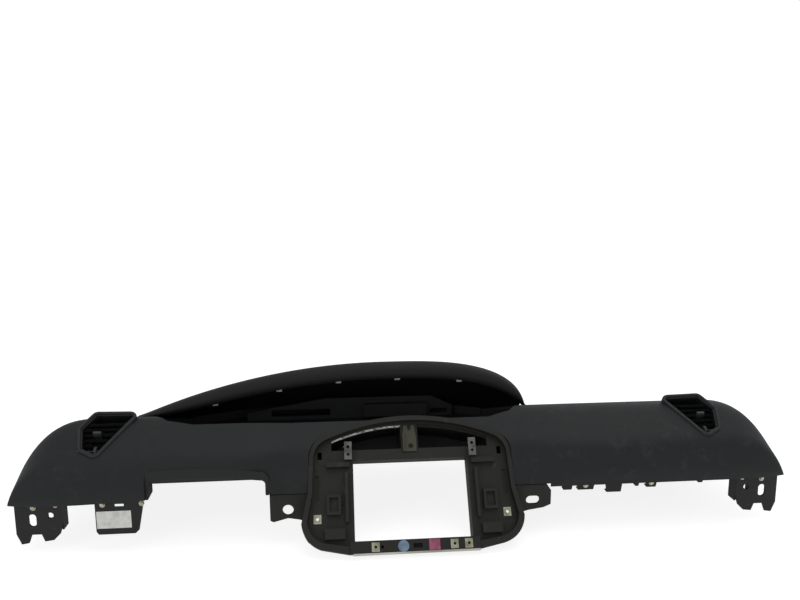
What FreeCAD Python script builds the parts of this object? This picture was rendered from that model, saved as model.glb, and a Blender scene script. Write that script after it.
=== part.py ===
import FreeCAD, Part
import math
import os
import Sketcher

# Car dashboard, stripped of its instruments and radio: a padded skin with a hood over the empty
# instrument recess, a raked centre frame, side vents that move, air ducts and fixing brackets.
# X runs to the right as the driver sees it, Y runs forward to the windscreen, Z runs up.
# Heights are first taken from the pad's lower lip, then every piece is shifted to the base.

Vector = FreeCAD.Vector

SIZES = [
    ("overall_width", 1450, "across the pad's lower corners"),
    ("front_reach", 77.8, "lip forward to the strip under the cross bar"),
    ("rear_reach", 420, "lip back to the pad's rear edge"),
    ("bar_drop", 93, "lip down to the foot of the centre frame's face"),
    ("bar_front", 75, "lip forward to the foot of the centre frame's face"),
    ("foot_rise", 4, "gap under the frame, up its rake"),
    ("foot_depth", 22, "front to back of the frame's foot"),
    ("pad_thickness", 3.5, "skin and its moulded backing"),
    ("crest_height", 118, "highest line of the pad above its lip"),
    ("shoulder_start", 590, "half width where the ends begin to fall"),
    ("centre_scoop", 14, "how far the fascia leans back beside the centre frame"),
    ("cutout_left", 477, "left side of the steering column cut-out"),
    ("cutout_right", 264, "right side of the steering column cut-out"),
    ("cutout_height", 41, "top of the column cut-out above the lip"),
    ("trim_band", 13, "visible band under the cut-out's edge"),
    ("hood_left", 526, "tip of the hood"),
    ("hood_right", 245, "blunt end of the hood"),
    ("hood_rise", 97, "ridge of the hood above the pad"),
    ("hood_thickness", 3.2, "wall of the hood"),
    ("brow_band", 38, "rolled front edge of the hood"),
    ("recess_front", 64, "front edge of the instrument recess"),
    ("tray_floor", 66, "floor of the instrument recess"),
    ("frame_rake", 56.9, "degrees between the centre frame and the floor"),
    ("frame_depth", 46, "front to back"),
    ("frame_height", 252, "along the rake, to the top of the arch"),
    ("frame_half_width", 192, "half width at the waist"),
    ("arch_radius", 411, "top of the centre frame"),
    ("radio_half_width", 108, "half of the radio opening"),
    ("radio_bottom", 27, "foot of the radio opening"),
    ("radio_top", 172, "head of the radio opening"),
    ("rim_width", 8, "raised edge of the centre frame"),
    ("rim_depth", 14, "rim face to tower face"),
    ("wall", 2.5, "moulded wall"),
    ("lug_hole_radius", 10, "round hole in the left lug"),
    ("lug_offset", 229, "centre plane to each lug hole"),
    ("lug_drop", 34, "lip down to each lug hole"),
    ("end_bolt_offset", 655, "centre plane to each end bolt hole"),
    ("end_bolt_drop", 30, "lip down to each end bolt hole"),
    ("end_bolt_radius", 5.5, "round bolt hole in each end bracket"),
    ("vent_offset", 565, "centre plane to each vent's datum"),
    ("vent_front", 24, "lip back to the tip of the vent face"),
    ("vent_height", 82, "lip up to the tip of the vent face"),
    ("vent_tilt", 32, "degrees between the vent face and the floor"),
    ("vent_depth", 40, "body of the vent"),
    ("neck_end", 80, "vent face to the end of its neck"),
    ("blade_pitch", 12.3, "blade to blade up the face"),
    ("blade_first", 18, "tip to the first blade"),
    ("blade_chord", 13, "depth of a blade"),
    ("blade_sink", 10, "face to the blades' pivots"),
    ("pivot_radius", 1.25, "every pivot pin"),
    ("pivot_clearance", 0.05, "round every pivot pin"),
    ("vane_sink", 29, "face to the vanes' pivots"),
    ("vane_chord", 12, "depth of a vane"),
    ("flap_sink", 58, "face to the flap's pivot"),
    ("wheel_radius", 8.5, "thumbwheel"),
    ("duct_radius", 40, "centre line of the side duct's bend"),
]

doc = FreeCAD.newDocument("Dashboard")
sheet = doc.addObject("Spreadsheet::Sheet", "Sizes")
for row, (alias, value, meaning) in enumerate(SIZES, start=1):
    sheet.set("A%d" % row, meaning)
    sheet.set("B%d" % row, str(value))
    sheet.setAlias("B%d" % row, alias)
doc.recompute()


class Dim:
    """A length with the expression that gives it, so that sums of sizes stay bound to the sheet."""

    def __init__(self, value, text):
        self.value = float(value)
        self.text = text

    @staticmethod
    def of(other):
        return other if isinstance(other, Dim) else Dim(other, repr(float(other)))

    def join(self, other, sign, value):
        return Dim(value, "(%s %s %s)" % (self.text, sign, other.text))

    def __add__(self, other):
        other = Dim.of(other)
        return self.join(other, "+", self.value + other.value)

    def __sub__(self, other):
        other = Dim.of(other)
        return self.join(other, "-", self.value - other.value)

    def __mul__(self, other):
        other = Dim.of(other)
        return self.join(other, "*", self.value * other.value)

    def __truediv__(self, other):
        other = Dim.of(other)
        return self.join(other, "/", self.value / other.value)

    def __neg__(self):
        return self * -1

    def __radd__(self, other):
        return Dim.of(other) + self

    def __rsub__(self, other):
        return Dim.of(other) - self

    def __rmul__(self, other):
        return Dim.of(other) * self

    def __float__(self):
        return self.value


def dim(alias):
    """The sheet's value of one size, bound by its alias."""
    return Dim(float(sheet.get(alias)), "Sizes.%s" % alias)


def size(alias):
    """The sheet's value of one size, as a number."""
    return float(sheet.get(alias))


RAKE = math.radians(size("frame_rake"))
BASE_DROP = (size("bar_drop") - size("foot_rise") * math.sin(RAKE)
             + size("foot_depth") * math.cos(RAKE))
BASE_SHIFT = Vector(0, (size("front_reach") - size("rear_reach")) / 2, BASE_DROP)
FRAME_ORIGIN = (0, -size("bar_front"), -size("bar_drop"))
SUBPARTS = []


def keep(item, label):
    """Give a finished sub-part its own label and remember it for export."""
    item.Label = label
    SUBPARTS.append(item)
    return item


def stand(item, origin=(0, 0, 0), tilt=0.0):
    """Turn an object about X and move it to its origin, measured from the pad's lip."""
    item.Placement = FreeCAD.Placement(Vector(*origin), FreeCAD.Rotation(Vector(1, 0, 0), tilt))
    return item


def place(item, origin=(0, 0, 0), tilt=0.0):
    """Stand a finished piece where it belongs, and shift it from the lip's frame to the base."""
    stand(item, origin, tilt)
    item.Placement.Base = item.Placement.Base + BASE_SHIFT
    return item


def new_body(name):
    return doc.addObject("PartDesign::Body", name)


def pin_point(sketch, geometry, end, x, y):
    """Fix one end of a sketch line or arc at x, y, bound to the sheet where they come from it."""
    for kind, coordinate in (("DistanceX", Dim.of(x)), ("DistanceY", Dim.of(y))):
        number = sketch.addConstraint(
            Sketcher.Constraint(kind, -1, 1, geometry, end, coordinate.value))
        if "Sizes" in coordinate.text:
            sketch.setExpression("Constraints[%d]" % number, coordinate.text)


def draw_circle(sketch, x, y, radius):
    centre = Vector(float(x), float(y), 0)
    number = sketch.addGeometry(Part.Circle(centre, Vector(0, 0, 1), float(radius)))
    pin_point(sketch, number, 3, x, y)
    radius = Dim.of(radius)
    held = sketch.addConstraint(Sketcher.Constraint("Radius", number, radius.value))
    if "Sizes" in radius.text:
        sketch.setExpression("Constraints[%d]" % held, radius.text)


def draw_loop(sketch, corners):
    """A closed outline. A corner (x, y, r) starts an arc of radius r that bulges to the right
    of its direction of travel, or to the left where r is negative; (x, y) starts a line."""
    first = sketch.GeometryCount
    count = len(corners)
    for index, corner in enumerate(corners):
        after = corners[(index + 1) % count]
        start = Vector(float(corner[0]), float(corner[1]), 0)
        end = Vector(float(after[0]), float(after[1]), 0)
        if len(corner) == 2:
            number = sketch.addGeometry(Part.LineSegment(start, end))
        else:
            radius = float(corner[2])
            chord = end - start
            rise = abs(radius) - math.sqrt(radius ** 2 - (chord.Length / 2) ** 2)
            side = Vector(chord.y, -chord.x, 0).normalize() * math.copysign(rise, radius)
            number = sketch.addGeometry(Part.Arc(start, (start + end) / 2 + side, end))
            sketch.addConstraint(Sketcher.Constraint("Radius", number, abs(radius)))
    for index, corner in enumerate(corners):
        number = first + index
        following = first + (index + 1) % count
        near, far = start_and_end(sketch, number, corner)
        next_near, _ = start_and_end(sketch, following, corners[(index + 1) % count])
        sketch.addConstraint(Sketcher.Constraint("Coincident", number, far, following, next_near))
        pin_point(sketch, number, near, corner[0], corner[1])


def start_and_end(sketch, number, corner):
    """Which of an edge's two ends lies at its corner: a clockwise arc is stored turned round."""
    here = Vector(float(corner[0]), float(corner[1]), 0)
    near_first = sketch.getPoint(number, 1).distanceToPoint(here) < 1e-6
    return (1, 2) if near_first else (2, 1)


def sketch_on(body, plane, loops, level=0.0):
    """A sketch on one of the body's planes, lifted by level, with outlines and circles."""
    sketch = body.newObject("Sketcher::SketchObject", body.Name + "Outline")
    support = [item for item in body.Origin.OriginFeatures if item.Role == plane][0]
    sketch.AttachmentSupport = (support, "")
    sketch.MapMode = "FlatFace"
    level = Dim.of(level)
    sketch.AttachmentOffset = FreeCAD.Placement(Vector(0, 0, level.value), FreeCAD.Rotation())
    if "Sizes" in level.text:
        sketch.setExpression(".AttachmentOffset.Base.z", level.text)
    for loop in loops:
        if loop[0] == "circle":
            draw_circle(sketch, *loop[1:])
        else:
            draw_loop(sketch, loop)
    return sketch


def set_length(feature, length):
    length = Dim.of(length)
    feature.Length = length.value
    if "Sizes" in length.text:
        feature.setExpression("Length", length.text)


def add(body, loops, length, level=0.0, plane="XY_Plane", back=False):
    """Pad outlines along the plane's normal, or against it."""
    feature = body.newObject("PartDesign::Pad", body.Name + "Pad")
    feature.Profile = sketch_on(body, plane, loops, level)
    set_length(feature, length)
    feature.Reversed = back
    return feature


def cut(body, loops, length=None, level=0.0, plane="XY_Plane", back=False):
    """Pocket outlines to a depth against the plane's normal, or right through both ways."""
    feature = body.newObject("PartDesign::Pocket", body.Name + "Pocket")
    feature.Profile = sketch_on(body, plane, loops, level)
    if length is None:
        feature.Type = "ThroughAll"
        feature.Midplane = True
    else:
        set_length(feature, length)
        feature.Reversed = back
    return feature


def rectangle(x0, x1, y0, y1):
    return [(x0, y0), (x1, y0), (x1, y1), (x0, y1)]


def mirrored(loop, side):
    """The outline for the left side from the one for the right; arcs keep their bulge."""
    if side > 0:
        return loop
    if loop[0] == "circle":
        return ("circle", -loop[1]) + tuple(loop[2:])
    turned = []
    count = len(loop)
    for index in range(count - 1, -1, -1):
        before = loop[(index - 1) % count]
        turned.append((-1 * loop[index][0], loop[index][1]) + tuple(before[2:]))
    return turned


def round_edges(body, radius, chosen):
    """Fillet the edges of the body's tip that the test picks by their two end points."""
    doc.recompute()
    names = []
    base = body.Tip
    for index, edge in enumerate(base.Shape.Edges, start=1):
        if len(edge.Vertexes) == 2 and chosen(edge.Vertexes[0].Point, edge.Vertexes[1].Point):
            names.append("Edge%d" % index)
    feature = body.newObject("PartDesign::Fillet", body.Name + "Fillet")
    feature.Base = (base, names)
    feature.Radius = radius
    return feature


def upright(a, b):
    """True for an edge that runs along the pad direction of an XY outline."""
    return abs(a.x - b.x) < 1e-6 and abs(a.y - b.y) < 1e-6


def solid_feature(name, shape):
    """A document object for a shape that sketches and primitives don't fit."""
    item = doc.addObject("Part::Feature", name)
    item.Shape = shape
    return item


def subtract(base, tool, name):
    item = doc.addObject("Part::Cut", name)
    item.Base = base
    item.Tool = tool
    return item


def unite(items, name):
    item = doc.addObject("Part::MultiFuse", name)
    item.Shapes = items
    return item


def group(items, name):
    item = doc.addObject("Part::Compound", name)
    item.Links = items
    return item


# Pad: its section across the car, as offsets from the lip and heights, from the lip over the
# fascia and crest to the rear edge. Every station along X scales and shifts this one section.
PAD_SECTION = [(-8, 0), (-10, 12), (-6, 40), (4, 66), (30, 86), (62, 105), (95, 118),
               (130, 109), (180, 88), (250, 55), (330, 16), (420, -24)]
FRONT_POINTS = 7


def smooth(value, low, high):
    """0 below low, 1 above high, and an even blend between."""
    step = min(1.0, max(0.0, (value - low) / (high - low)))
    return step * step * (3 - 2 * step)


def crown(x):
    """Height of the pad's section at x as a share of its height in the middle."""
    half = size("overall_width") / 2
    reach = max(0.0, (abs(x) - size("shoulder_start")) / (half - size("shoulder_start")))
    return max(0.05, (1 - min(1.0, reach) ** 2.2) ** 0.9)


def pad_section(x):
    """The section's points at x: lower at the ends, leant back beside the centre frame, and
    shorter towards the rear corners as the windscreen curves in."""
    height = crown(x)
    rear = 1 - 0.14 * (abs(x) / 725) ** 2
    lean = size("centre_scoop") * (1 - smooth(abs(x), 215, 330))
    setback = 12 * max(0.0, (abs(x) - 640) / 85) ** 2
    points = []
    for index, (y, z) in enumerate(PAD_SECTION):
        if index < FRONT_POINTS:
            y = y + lean * math.sin(math.pi * min(1, max(0, z / size("crest_height"))))
            y = y * (0.35 + 0.65 * height) + setback
        else:
            y = 95 * (0.35 + 0.65 * height) + (y - 95) * rear + setback
        points.append((y, z * height))
    return points


def pad_height(x, y):
    """Height of the pad's outer surface at x, y, from its section drawn as a smooth curve."""
    curve = Part.BSplineCurve()
    curve.interpolate([Vector(x, py, pz) for py, pz in pad_section(x)])
    upright_line = Part.makeLine(Vector(x, y, -60), Vector(x, y, 200))
    _, nearest, _ = curve.toShape().distToShape(upright_line)
    return nearest[-1][0].z


def pad_wire(x, inset):
    """A closed section at x, pulled in from the outer face by inset, or let out where that is
    negative. One that is moved runs on below the lip, to leave an open underside."""
    points = [Vector(x, y, z) for y, z in pad_section(x)]
    curve = Part.BSplineCurve()
    curve.interpolate(points)
    if inset:
        moved = []
        for point in points:
            tangent = curve.tangent(curve.parameter(point))[0]
            moved.append(point + Vector(0, tangent.z, -tangent.y) * inset)
        curve = Part.BSplineCurve()
        curve.interpolate(moved)
        points = moved
    first, last = points[0], points[-1]
    drop = 30 if inset else 0
    low_front = Vector(x, first.y, first.z - drop)
    low_rear = Vector(x, last.y, last.z - drop)
    edges = [curve.toShape()]
    if drop:
        edges += [Part.makeLine(last, low_rear), Part.makeLine(low_rear, low_front),
                  Part.makeLine(low_front, first)]
    else:
        edges.append(Part.makeLine(last, first))
    return Part.Wire(edges)


SEAT_GAP = 0.1
PAD_STATIONS = [0, 110, 210, 270, 340, 460, 560, 610, 650, 680, 702]


def pad_solid(inset):
    """The skin's outer or inner form, lofted through its sections from end to end."""
    last = ([712 - inset / 10, size("overall_width") / 2 - inset] if inset
            else [716, size("overall_width") / 2])
    stations = PAD_STATIONS + last
    xs = sorted([-x for x in stations if x] + stations)
    return Part.makeLoft([pad_wire(x, inset) for x in xs], True, False)


def slab(corners, low, high):
    """An upright prism over a plan outline, for cutting through the pad's top."""
    wire = Part.makePolygon([Vector(x, y, low) for x, y in corners + corners[:1]])
    return Part.Face(wire).extrude(Vector(0, 0, high - low))


def frame_outline(grow=0.0):
    """The frame's outline as one loop, foot to arch and back down the left side."""
    half = dim("frame_half_width") + grow
    top = dim("frame_height") + grow
    arch = size("arch_radius") + grow
    return [(-118, 4 - grow), (118, 4 - grow), (168, 14 - grow, 52), (204 + grow, 60),
            (half, 112), (half - 2, 178, 46), (half - 26, top - 35, arch),
            (26 - half, top - 35, 46), (2 - half, 178), (-half, 112), (-204 - grow, 60, 52),
            (-168, 14 - grow)]


VENT_CORNERS = [(8, -6), (33, 8), (42, 52), (22, 84), (-46, 82)]


def grown(corners, amount):
    """A convex outline pushed outwards by the same amount on every side."""
    count = len(corners)
    lines = []
    for index in range(count):
        ax, ay = corners[index]
        bx, by = corners[(index + 1) % count]
        length = math.hypot(bx - ax, by - ay)
        nx, ny = (by - ay) / length, (ax - bx) / length
        lines.append((nx, ny, nx * ax + ny * ay + amount))
    moved = []
    for index in range(count):
        a, b, c = lines[index - 1]
        d, e, f = lines[index]
        det = a * e - b * d
        moved.append(((c * e - b * f) / det, (a * f - c * d) / det))
    return moved


def make_pad():
    """The skin: outer form less inner form, then its openings."""
    outer = solid_feature("PadOuter", pad_solid(0.0))
    inner = solid_feature("PadInner", pad_solid(size("pad_thickness")))
    shell = subtract(outer, inner, "PadShell")
    tools = [column_tool(), centre_tool(), recess_tool()]
    tools += [vent_tool(side) for side in (-1, 1)]
    tools += demister_tools()
    cutters = unite(tools, "PadOpenings")
    pad = subtract(shell, cutters, "DashPad")
    place(pad)
    return keep(pad, "dash_pad")


def column_tool():
    """The steering column cut-out, with a round upper corner each side."""
    body = new_body("ColumnOpening")
    left, right, top = -dim("cutout_left"), -dim("cutout_right"), dim("cutout_height")
    loop = [(left, -20), (right, -20), (right, top - 19, 14), (right - 14, top - 5, 900),
            (left + 12, top, 12), (left, top - 12)]
    add(body, [loop], 100, level=-60, plane="XZ_Plane")
    return body


def centre_tool():
    """The opening that the centre frame fills."""
    body = new_body("CentreOpening")
    add(body, [frame_outline(0.6)], 120, level=-60)
    body.Placement = FreeCAD.Placement(Vector(*FRAME_ORIGIN),
                                       FreeCAD.Rotation(Vector(1, 0, 0), size("frame_rake")))
    return body


def vent_tool(side):
    """The opening for one side vent, square to the vent's face."""
    body = new_body("VentOpening")
    loop = mirrored(grown(VENT_CORNERS, BEZEL_WIDTH + 0.5), side)
    add(body, [loop], 60, level=-35)
    round_edges(body, 12, upright)
    body.Placement = FreeCAD.Placement(
        Vector(side * size("vent_offset"), size("vent_front"), size("vent_height")),
        FreeCAD.Rotation(Vector(1, 0, 0), size("vent_tilt")))
    return body


BEZEL_WIDTH = 9


def recess_plan(inset):
    """Plan of the instrument recess: a straight sill, and a long arc behind it."""
    left, right = 22 - size("hood_left") + inset, size("hood_right") - inset
    front = size("recess_front") + inset
    points = [(left + 14, 108), (left + 40, front + 12), (left + 90, front),
              (right - 80, front), (right - 36, front + 12), (right - 18, 108)]
    middle, half = (left + right) / 2, (right - left) / 2 - 16
    for step in range(1, 16):
        angle = math.pi * step / 16
        points.append((middle + half * math.cos(angle), 112 + (150 - inset) * math.sin(angle)))
    return points


def recess_tool():
    return solid_feature("RecessOpening", slab(recess_plan(8), 20, 260))


def demister_tools():
    """Windscreen demister slots near the pad's rear edge."""
    slots = []
    for index in range(-8, 9):
        x = index * 48
        slot = doc.addObject("Part::Box", "DemisterSlot")
        slot.Length, slot.Width, slot.Height = 36, 7, 120
        slot.Placement = FreeCAD.Placement(
            Vector(x - 18, 376 - 40 * (x / 400) ** 2, -60), FreeCAD.Rotation())
        slots.append(slot)
    return slots



def under_pad(tool, gap):
    """The part of a shape that lies under the pad's skin, this far below its outer face."""
    return tool.common(pad_solid(size("pad_thickness") + gap))


def upright_slab(corners, front, back):
    """A prism over an outline seen from the front, between two depths."""
    wire = Part.makePolygon([Vector(x, front, z) for x, z in corners + corners[:1]])
    return Part.Face(wire).extrude(Vector(0, back - front, 0))


def make_column_trim():
    """Moulded band that lines the skin round the cut-out, with a return flange inside it."""
    left, right = 6 - size("cutout_left"), -size("cutout_right") - 7.5
    top, wall, foot = size("cutout_height") - size("trim_band"), size("wall"), -26

    def arch(grow, low):
        turned = [math.radians(15 * step) for step in range(7)]
        bend = 14
        corners = [(right + grow, low)]
        corners += [(right - bend + (bend + grow) * math.cos(a),
                     top - bend + (bend + grow) * math.sin(a)) for a in turned]
        corners += [(left + bend - (bend + grow) * math.cos(a),
                     top - bend + (bend + grow) * math.sin(a)) for a in turned[::-1]]
        return corners + [(left - grow, low)]

    band = upright_slab(arch(9, foot), -30, 40).cut(upright_slab(arch(0, foot - 1), -31, 41))
    lining = under_pad(band, SEAT_GAP).cut(pad_solid(size("pad_thickness") + SEAT_GAP + wall))
    flange = upright_slab(arch(wall, foot), -30, 30).cut(upright_slab(arch(0, foot - 1), -31, 31))
    trim = solid_feature("ColumnTrim", lining.fuse(under_pad(flange, SEAT_GAP)).removeSplitter())
    return keep(place(trim), "column_trim")


HOOD_PEAK = 0.63
BROW_FRONT = 120
RIDGE_BACK = 26
HOOD_LEFT_SHARES = [0.95, 0.9, 0.82, 0.71, 0.58, 0.42, 0.25, 0.08]
HOOD_RIGHT_SHARES = [0.1, 0.24, 0.38, 0.52, 0.66, 0.78, 0.88, 0.95]


def hood_stations():
    """X and ridge height of each section: a long fall to the left tip, a blunt right end."""
    left, right = -size("hood_left"), size("hood_right")
    peak = left + HOOD_PEAK * (right - left)
    rise = size("hood_rise")
    stations = [(peak - (peak - left) * share, rise * (1 - share ** 2) ** 0.9)
                for share in HOOD_LEFT_SHARES]
    for share in HOOD_RIGHT_SHARES:
        reach = 1 - (1 - share) ** 2
        stations.append((peak + (right - peak) * reach, rise * math.sqrt(1 - reach ** 3)))
    return stations


def hood_section(x, rise):
    """The hood at x: from the lip of its rolled brow over the ridge and down to the pad."""
    share = rise / size("hood_rise")
    base = 106
    ridge = base + rise
    band = size("brow_band") * math.tanh(rise / 35)
    front = BROW_FRONT + 6 * (1 - share)
    reach = 200 * math.sqrt(max(share, 0.05))
    rear_y = front + RIDGE_BACK + reach
    rear_z = pad_height(x, rear_y) + 3.6
    roll = 0.35 + 0.65 * band / size("brow_band")
    points = [Vector(x, front + back * roll, ridge - drop * band) for back, drop in
              ((9, 1), (2, 0.78), (0, 0.45), (7, 0.12), (RIDGE_BACK, 0))]
    for step in (0.2, 0.4, 0.6, 0.8, 1.0):
        fall = 0.35 * step + 0.65 * step * step * (3 - 2 * step)
        points.append(Vector(x, front + RIDGE_BACK + reach * step,
                             ridge + (rear_z - ridge) * fall))
    return points


def neighbours(items, index):
    return items[max(0, index - 1)], items[min(len(items) - 1, index + 1)]


def thin_shell(rows, thickness):
    """A closed solid between a smooth surface through the rows of points and its inward
    offset, lofted through one closed ring for each row. The end rings stay flat."""
    rings = []
    for number, row in enumerate(rows):
        row_before, row_after = neighbours(rows, number)
        moved = []
        for index, point in enumerate(row):
            before, after = neighbours(row, index)
            outward = (row_after[index] - row_before[index]).cross(after - before).normalize()
            if number in (0, len(rows) - 1):
                outward = Vector(0, outward.y, outward.z)
            moved.append(point - outward * thickness)
        outer, inner = Part.BSplineCurve(), Part.BSplineCurve()
        outer.interpolate(row)
        inner.interpolate(moved)
        rings.append(Part.Wire([outer.toShape(), Part.makeLine(row[-1], moved[-1]),
                                inner.toShape(), Part.makeLine(moved[0], row[0])]))
    return Part.makeLoft(rings, True, False)


def make_hood():
    """The hood, trimmed where it stands on the pad's outer face."""
    rows = [hood_section(x, rise) for x, rise in hood_stations()]
    shell = thin_shell(rows, size("hood_thickness")).cut(pad_solid(-2 * SEAT_GAP))
    hood = solid_feature("Hood", max(shell.Solids, key=lambda solid: solid.Volume))
    return keep(place(hood), "instrument_hood")


CLIP_OFFSETS = [-372, -248, -132, -16, 108]


def lip_height(x):
    """Height of the brow's lip at x, read between the hood's stations."""
    stations = hood_stations()
    for (xa, ra), (xb, rb) in zip(stations, stations[1:]):
        if xa <= x <= xb:
            rise = ra + (rb - ra) * (x - xa) / (xb - xa)
            return 106 + rise - size("brow_band") * math.tanh(rise / 35)
    return 106.0


def make_hood_clips():
    """Spring clips pushed on the brow's lip, where the instrument surround was held."""
    clips = []
    for x in CLIP_OFFSETS:
        body = new_body("HoodClip")
        add(body, [[(-4, -9), (14, -9), (14, -1.2), (0.6, -1.2), (0.6, 3), (-0.8, 3), (-0.8, -7.6),
                    (-4, -7.6)]], 14, level=-7, plane="YZ_Plane")
        body.Placement = FreeCAD.Placement(Vector(x, BROW_FRONT + 2.2, lip_height(x) - 1.5),
                                           FreeCAD.Rotation())
        clips.append(body)
    return keep(place(group(clips, "HoodClips")), "hood_clips")


TRAY_NOTCH = 176


def make_tray():
    """The tub under the hood that held the instruments: its front and side walls rise to the
    underside of the skin, its rear wall stands in the opening, and the centre frame's arch
    has a notch."""
    floor, wall, split = size("tray_floor"), size("wall"), 190
    front_half = Part.makeBox(900, split, 200, Vector(-600, 0, 0))
    rear_half = Part.makeBox(900, 200, 200, Vector(-600, split - wall, 0))
    tub = slab(recess_plan(5.8), floor, 140).cut(slab(recess_plan(8.4), floor + wall, 150))
    tub = under_pad(tub.common(front_half), SEAT_GAP)
    back = slab(recess_plan(8.3), floor, floor + 20)
    back = back.cut(slab(recess_plan(8.3 + wall), floor + wall, floor + 30)).common(rear_half)
    notch = Part.makeBox(2 * TRAY_NOTCH, 130, 80, Vector(-TRAY_NOTCH, 0, floor - 20))
    tray = solid_feature("Tray", tub.fuse(back).cut(notch).removeSplitter())
    return keep(place(tray), "instrument_tray")


def make_back_plate():
    """Upright plate behind the instruments, with a raised connector shelf and two windows."""
    body = new_body("BackPlate")
    floor = dim("tray_floor") + dim("wall")
    add(body, [[(-320, floor), (105, floor), (105, 90), (60, 112), (-160, 112), (-320, 86)]],
        2.5, level=-206, plane="XZ_Plane")
    cut(body, [rectangle(-270, -150, 76, 90), rectangle(60, 95, 74, 84)], None,
        plane="XZ_Plane")
    add(body, [rectangle(-80, 50, 74, 100)], 16, level=-206, plane="XZ_Plane")
    return keep(place(body), "instrument_back_plate")


def on_frame(body, label):
    """Seat a finished body on the centre frame's raked face."""
    return keep(place(body, FRAME_ORIGIN, size("frame_rake")), label)


BAR_SINK = 6


def frame_body():
    """The centre frame's moulding: rim, towers, radio opening and duct mouths."""
    body = new_body("FrameMoulding")
    depth, rim_depth = dim("frame_depth"), dim("rim_depth")
    half, top = dim("frame_half_width"), dim("frame_height")
    rim = dim("rim_width")
    add(body, [frame_outline()], depth, back=True)
    cut(body, [rectangle(-215, 215, 0, 30)], depth - dim("foot_depth"), level=-depth, back=True)
    cut(body, [[(124, 18), (160, 24, 44), (194, 62), (half - rim, 112), (half - 2 - rim, 176, 40),
                (half - 32, top - 42, size("arch_radius") - 10), (32 - half, top - 42, 40),
                (2 + rim - half, 176), (rim - half, 112), (-194, 62, 44), (-160, 24), (-124, 18)]],
        rim_depth)
    radio = rectangle(-dim("radio_half_width"), dim("radio_half_width"),
                      dim("radio_bottom"), dim("radio_top"))
    cut(body, [radio])
    cut(body, [rectangle(-117.2, 117.2, 0, 25.2)], BAR_SINK + 0.1)
    for side in (-1, 1):
        cut(body, [mirrored(mouth_outline(0), side)])
        tower = [(113, 36), (168, 36), (188, 66), (184, 166), (113, 166)]
        cut(body, [mirrored(tower, side)], depth - rim_depth - dim("wall"), level=-depth,
            back=True)
        cut(body, [mirrored(rectangle(172, 179, 101, 146), side)])
        cut(body, [mirrored(rectangle(166, 174, 176, 190), side)])
        add(body, [mirrored(rectangle(132, 158, 74, 111), side)], 9, level=-rim_depth)
        add(body, [mirrored(rectangle(114, 158, 160, 169), side)], 10, level=-rim_depth)
        add(body, [mirrored(rectangle(125, 162, 31, 50), side)], 11, level=-rim_depth)
        add(body, [mirrored(rectangle(118, 124, 60, 150), side)], 12, level=-rim_depth)
        cut(body, [mirrored(rectangle(137, 153, 80, 105), side)], 6, level=-5)
        cut(body, [("circle", side * 175, 68, 4)])
    return body


def mouth_outline(inset):
    """One duct mouth, right of the middle, under the arch."""
    top = size("frame_height") - 14 - inset
    return [(16 + inset, 192 + inset), (148 - inset, 192 + inset),
            (148 - inset, top - 27, size("arch_radius") - 16 - inset), (16 + inset, top)]


def lug(side):
    """Fixing lug beside the frame's foot: a round hole on the left, a slot on the right."""
    body = new_body("Lug")
    offset, drop = dim("lug_offset"), dim("lug_drop")
    if side < 0:
        outline = [(-262, -4), (-262, -54), (-256, -57), (-229, -50), (-208, -54), (-190, -62),
                   (-190, -4)]
        hole = ("circle", -offset, -drop, dim("lug_hole_radius"))
    else:
        outline = [(190, -4), (190, -62), (222, -54), (250, -50), (264, -44), (264, -16),
                   (256, -4)]
        hole = [(offset - 5, -drop - 8), (offset + 5, -drop - 8, 8.001), (offset + 5, -drop + 8),
                (offset - 5, -drop + 8, 8.001)]
    add(body, [outline, hole], 4, level=2, plane="XZ_Plane", back=True)
    return body


def make_centre_frame():
    moulding = frame_body()
    stand(moulding, FRAME_ORIGIN, size("frame_rake"))
    frame = unite([moulding, lug(-1), lug(1)], "CentreFrame")
    return keep(place(frame), "centre_frame")


def make_cross_bar():
    """Channel across the frame's foot, open behind, and the bright strip along its edge."""
    body = new_body("CrossBar")
    add(body, [rectangle(-117, 117, 4, 25)], BAR_SINK + 3, level=-BAR_SINK)
    cut(body, [rectangle(-114, 114, 6.5, 22.5)], 6.5, level=-BAR_SINK, back=True)
    cut(body, [("circle", -60, 14, 3), ("circle", 92, 14, 3), rectangle(-4, 12, 10, 18)])
    on_frame(body, "lower_cross_bar")
    strip = new_body("CrossBarStrip")
    add(strip, [rectangle(-112, 117, 1, 4)], 10, level=-BAR_SINK)
    on_frame(strip, "cross_bar_strip")


def spring_nut(name, x, s, level):
    """A U-nut: a folded clip with a threaded boss, seen from the front."""
    body = new_body(name)
    add(body, [rectangle(x - 7, x + 7, s - 8, s + 8), ("circle", x, s, 2.6)], 1.2, level=level)
    add(body, [("circle", x, s, 5), ("circle", x, s, 2.6)], 2.4, level=level + 1.2)
    return body


def make_spring_nuts():
    bar_nuts = [spring_nut("BarNut", x, 14, 3) for x in (-72, 70, 96)]
    keep(place(group([stand(item) for item in bar_nuts], "BarNuts"), FRAME_ORIGIN,
               size("frame_rake")), "cross_bar_nuts")
    side_nuts = [spring_nut("SideNut", x, 68, -size("rim_depth")) for x in (-175, 175)]
    keep(place(group([stand(item) for item in side_nuts], "SideNuts"), FRAME_ORIGIN,
               size("frame_rake")), "frame_side_nuts")


def make_stickers():
    round_one = new_body("RoundSticker")
    add(round_one, [("circle", -22, 14, 10)], 0.6, level=3)
    on_frame(round_one, "round_sticker")
    square_one = new_body("SquareSticker")
    add(square_one, [rectangle(24, 44, 5, 24)], 0.6, level=3)
    on_frame(square_one, "square_sticker")


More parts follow.
